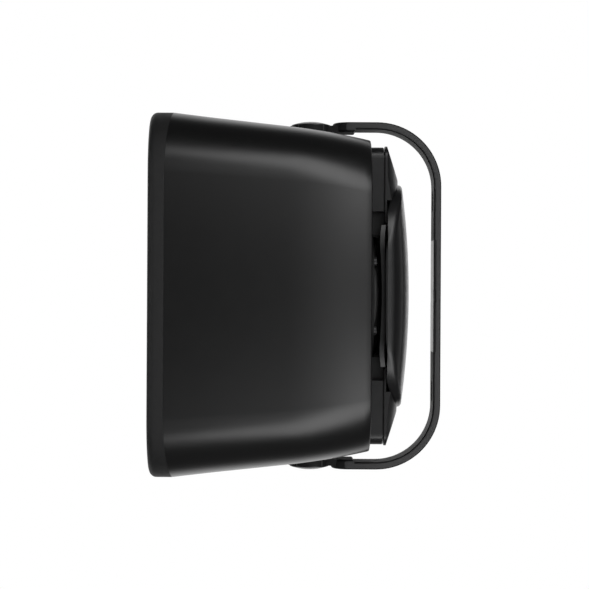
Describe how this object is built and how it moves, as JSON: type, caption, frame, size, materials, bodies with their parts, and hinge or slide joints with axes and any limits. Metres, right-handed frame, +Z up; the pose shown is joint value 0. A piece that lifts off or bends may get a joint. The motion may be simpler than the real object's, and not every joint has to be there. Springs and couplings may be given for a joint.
{
  "type": "loudspeaker",
  "caption": "Compact tapered two-way loudspeaker with a perforated front, a rear passive radiator under a pillow cover, and a swivelling U bracket for a wall.",
  "frame": {"origin": "centre of the bracket's wall face, midway between its two wall slots", "axes": "+Y into the wall, -Y towards the listener, +Z up along the cabinet, +X to the right seen from the front"},
  "size_m": [0.165, 0.2085, 0.258],
  "materials": {
    "cabinet": "satin moulded black",
    "grille_paint": "matt black powder coat on sheet steel",
    "bracket_paint": "satin black powder coat on cast aluminium",
    "rear_moulding": "fine matt black moulding",
    "baffle_plastic": "matt black moulding",
    "rubber": "soft black rubber",
    "cone": "coated woven cone",
    "spider": "resin-stiffened cloth",
    "steel": "bright steel",
    "black_steel": "black zinc-plated steel",
    "magnet": "ferrite",
    "copper": "enamelled copper wire",
    "brass": "plain brass",
    "dome_metal": "thin anodised metal",
    "board": "green glass-fibre laminate",
    "can": "film capacitor case",
    "ceramic": "cement resistor body"
  },
  "bodies": {
    "bracket": {"bracket": "bracket_paint", "screw_cover": "rear_moulding"},
    "loudspeaker": {"cabinet_shell": "cabinet", "front_grille": "grille_paint", "front_baffle": "baffle_plastic", "baffle_gasket": "rubber", "baffle_screws": "black_steel", "woofer_basket": "black_steel", "woofer_surround": "rubber", "woofer_spider": "spider", "woofer_top_plate": "steel", "woofer_magnet": "magnet", "woofer_back_plate": "steel", "woofer_screws": "black_steel", "tweeter_faceplate": "baffle_plastic", "tweeter_dome": "dome_metal", "tweeter_voice_coil": "copper", "tweeter_surround": "rubber", "tweeter_top_plate": "steel", "tweeter_magnet": "magnet", "tweeter_back_plate": "steel", "tweeter_screws": "black_steel", "rear_panel": "rear_moulding", "panel_gasket": "rubber", "panel_screws": "black_steel", "radiator_frame": "baffle_plastic", "radiator_surround": "rubber", "radiator_screws": "black_steel", "rear_cap_upper": "rear_moulding", "rear_cap_lower": "rear_moulding", "cap_screws": "black_steel", "rear_cover": "rear_moulding", "rear_cover_tray": "rear_moulding", "terminal_block": "baffle_plastic", "terminal_screws": "brass", "crossover_board": "board", "board_screws": "steel", "crossover_inductor": "copper", "crossover_capacitors": "can", "crossover_resistor": "ceramic", "pivot_washer_upper": "rubber", "pivot_washer_lower": "rubber", "pivot_insert_upper": "brass", "pivot_insert_lower": "brass", "pivot_bolt_upper": "black_steel", "pivot_bolt_lower": "black_steel"},
    "woofer_cone": {"woofer_cone": "cone", "woofer_dust_cap": "cone", "woofer_voice_coil": "copper"},
    "radiator": {"radiator_diaphragm": "baffle_plastic", "radiator_weight": "steel"}
  },
  "joints": [
    {"name": "bracket_swivel", "type": "hinge", "parent": "bracket", "child": "loudspeaker", "pos_m": [0, -0.095, 0], "axis": [0, 0, 1], "range_deg": [-60, 60]},
    {"name": "woofer_stroke", "type": "slide", "parent": "loudspeaker", "child": "woofer_cone", "axis": [0, 1, 0], "range_m": [-0.0035, 0.0035], "stiffness_N_per_m": 1200, "deforming": ["woofer_surround", "woofer_spider"]},
    {"name": "radiator_stroke", "type": "slide", "parent": "loudspeaker", "child": "radiator", "axis": [0, 1, 0], "range_m": [-0.004, 0.004], "stiffness_N_per_m": 1000, "deforming": ["radiator_surround"]}
  ]
}
